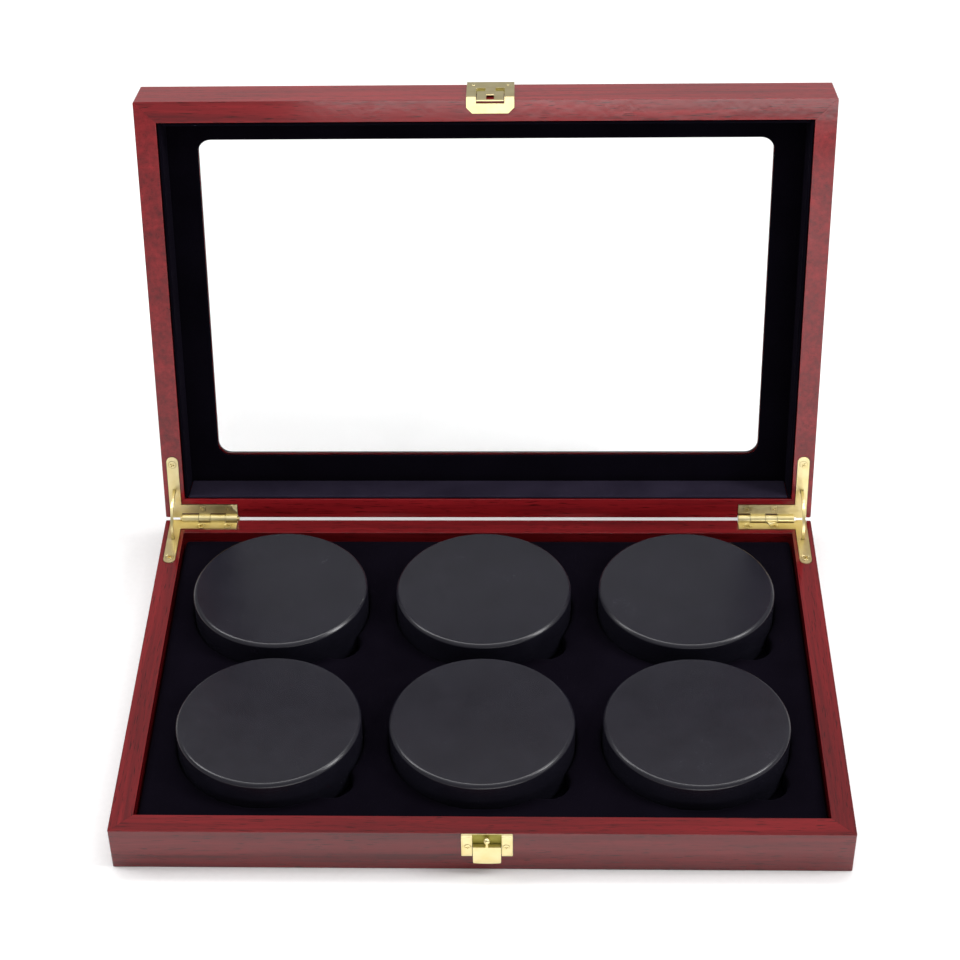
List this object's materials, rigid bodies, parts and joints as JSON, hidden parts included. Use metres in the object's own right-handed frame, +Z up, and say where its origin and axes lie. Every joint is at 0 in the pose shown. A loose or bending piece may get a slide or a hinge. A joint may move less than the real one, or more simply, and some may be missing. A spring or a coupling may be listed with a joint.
{
  "type": "massage stone presentation case",
  "caption": "Hinged lacquered wooden case with a glazed lid and a velvet insert that holds flat round basalt massage stones in finger-notched pockets.",
  "frame": {"origin": "centre of the case's underside, on the surface it stands on", "axes": "+X to the right along the case's width, -Y to the front with the latch, +Z up"},
  "size_m": [0.308, 0.2731, 0.2242],
  "materials": {
    "lacquered_wood": "dark red mahogany stain under gloss lacquer",
    "hardboard": "plain brown hardboard",
    "velvet": "black flocked velvet over board",
    "felt": "black wool felt",
    "basalt": "honed flat faces with a smoother edge",
    "brass": "polished",
    "steel": "plain drawn wire",
    "glass": "clear float glass"
  },
  "bodies": {
    "base": {"base_back_rail": "lacquered_wood", "base_bottom_panel": "hardboard", "base_felt": "felt", "base_front_rail": "lacquered_wood", "base_left_rail": "lacquered_wood", "base_right_rail": "lacquered_wood", "hinge_left_base_leaf": "brass", "hinge_left_base_screw_inner": "brass", "hinge_left_base_screw_outer": "brass", "hinge_left_base_screw_side": "brass", "hinge_left_pin": "steel", "hinge_right_base_leaf": "brass", "hinge_right_base_screw_inner": "brass", "hinge_right_base_screw_outer": "brass", "hinge_right_base_screw_side": "brass", "hinge_right_pin": "steel", "insert_block": "velvet", "insert_floor": "velvet", "latch_housing": "brass", "latch_pin": "steel", "latch_screw_left": "brass", "latch_screw_right": "brass", "latch_spring": "steel"},
    "lid": {"catch_pin_left": "brass", "catch_pin_right": "brass", "catch_plate": "brass", "hinge_left_lid_leaf": "brass", "hinge_left_lid_screw_inner": "brass", "hinge_left_lid_screw_outer": "brass", "hinge_left_lid_screw_side": "brass", "hinge_right_lid_leaf": "brass", "hinge_right_lid_screw_inner": "brass", "hinge_right_lid_screw_outer": "brass", "hinge_right_lid_screw_side": "brass", "lid_back_rail": "lacquered_wood", "lid_front_rail": "lacquered_wood", "lid_glass": "glass", "lid_left_rail": "lacquered_wood", "lid_lining_back": "velvet", "lid_lining_front": "velvet", "lid_lining_left": "velvet", "lid_lining_right": "velvet", "lid_right_rail": "lacquered_wood", "lid_top_panel": "lacquered_wood", "lid_velvet_panel": "velvet"},
    "stay_left": {"hinge_left_stay": "brass"},
    "stay_right": {"hinge_right_stay": "brass"},
    "latch_lever": {"latch_lever": "brass"},
    "stone_back_left": {"stone_back_left": "basalt"},
    "stone_back_middle": {"stone_back_middle": "basalt"},
    "stone_back_right": {"stone_back_right": "basalt"},
    "stone_front_left": {"stone_front_left": "basalt"},
    "stone_front_middle": {"stone_front_middle": "basalt"},
    "stone_front_right": {"stone_front_right": "basalt"}
  },
  "joints": [
    {"name": "lid_hinge", "type": "hinge", "parent": "base", "child": "lid", "pos_m": [0, 0.1025, 0.0218], "axis": [-1, 0, 0], "range_deg": [-102, 0]},
    {"name": "stay_left_swing", "type": "hinge", "parent": "base", "child": "stay_left", "pos_m": [0, 0.1025, 0.0218], "axis": [-1, 0, 0], "range_deg": [-51, 0]},
    {"name": "stay_right_swing", "type": "hinge", "parent": "base", "child": "stay_right", "pos_m": [0, 0.1025, 0.0218], "axis": [-1, 0, 0], "range_deg": [-51, 0]},
    {"name": "latch_lever_press", "type": "hinge", "parent": "base", "child": "latch_lever", "pos_m": [0.0028, -0.1035, 0.0144], "axis": [1, 0, 0], "range_deg": [0, 10], "stiffness_Nm_per_rad": 0.02},
    {"name": "stone_back_left_lift", "type": "slide", "parent": "base", "child": "stone_back_left", "axis": [0, 0, 1], "range_m": [0, 0.05]},
    {"name": "stone_back_middle_lift", "type": "slide", "parent": "base", "child": "stone_back_middle", "axis": [0, 0, 1], "range_m": [0, 0.05]},
    {"name": "stone_back_right_lift", "type": "slide", "parent": "base", "child": "stone_back_right", "axis": [0, 0, 1], "range_m": [0, 0.05]},
    {"name": "stone_front_left_lift", "type": "slide", "parent": "base", "child": "stone_front_left", "axis": [0, 0, 1], "range_m": [0, 0.05]},
    {"name": "stone_front_middle_lift", "type": "slide", "parent": "base", "child": "stone_front_middle", "axis": [0, 0, 1], "range_m": [0, 0.05]},
    {"name": "stone_front_right_lift", "type": "slide", "parent": "base", "child": "stone_front_right", "axis": [0, 0, 1], "range_m": [0, 0.05]}
  ],
  "couplings": [
    {"joint": "stay_left_swing", "follows": "lid_hinge", "ratio": 0.5},
    {"joint": "stay_right_swing", "follows": "lid_hinge", "ratio": 0.5}
  ]
}
